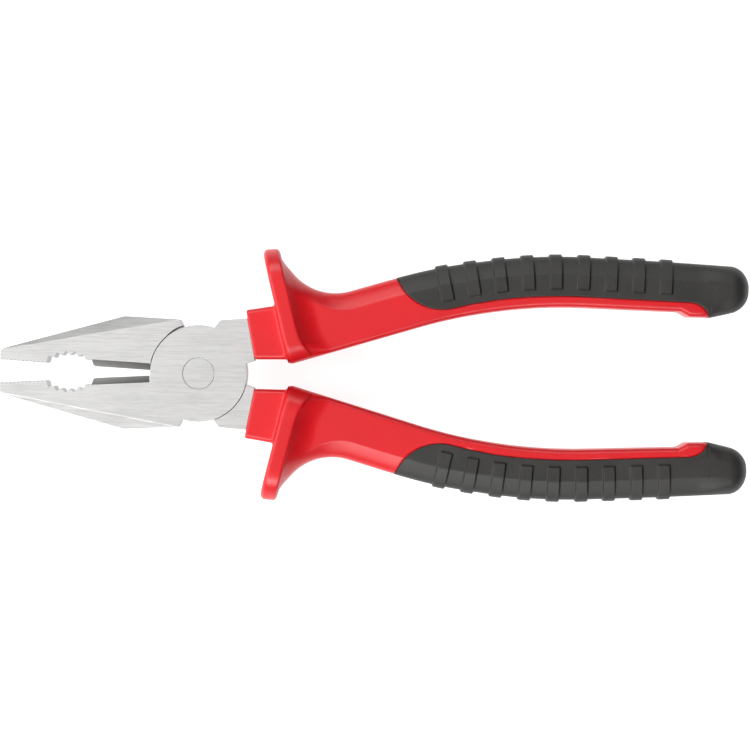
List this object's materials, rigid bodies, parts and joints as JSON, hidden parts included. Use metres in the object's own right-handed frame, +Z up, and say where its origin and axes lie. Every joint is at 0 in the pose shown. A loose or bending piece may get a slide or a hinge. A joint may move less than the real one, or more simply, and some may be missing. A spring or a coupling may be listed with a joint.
{
  "type": "combination pliers",
  "caption": "Combination pliers with flat grip, pipe grip and cutter, a riveted lap joint, and hard sleeves with hand guards and ribbed soft grips.",
  "frame": {"origin": "middle of the tool's length and width, on the plane that the hand guards touch when the tool lies flat", "axes": "+X from the jaws to the handle ends, +Y to the handle of the front lever, +Z up, along the rivet"},
  "size_m": [0.1996, 0.0672, 0.022],
  "materials": {
    "steel": "ground faces with fine lengthwise grain, darker ground cutter bevels",
    "rivet": "ground flush with the head",
    "sleeve": "hard red plastic, semi-gloss",
    "grip": "soft black grip, satin"
  },
  "bodies": {
    "front_half": {"front_lever": "steel", "pivot_rivet": "rivet", "front_sleeve": "sleeve", "front_grip": "grip"},
    "rear_half": {"rear_lever": "steel", "rear_sleeve": "sleeve", "rear_grip": "grip"}
  },
  "joints": [
    {"name": "jaw_pivot", "type": "hinge", "parent": "front_half", "child": "rear_half", "pos_m": [-0.0469, 0, 0.011], "axis": [0, 0, -1], "range_deg": [-6.4, 35]}
  ]
}
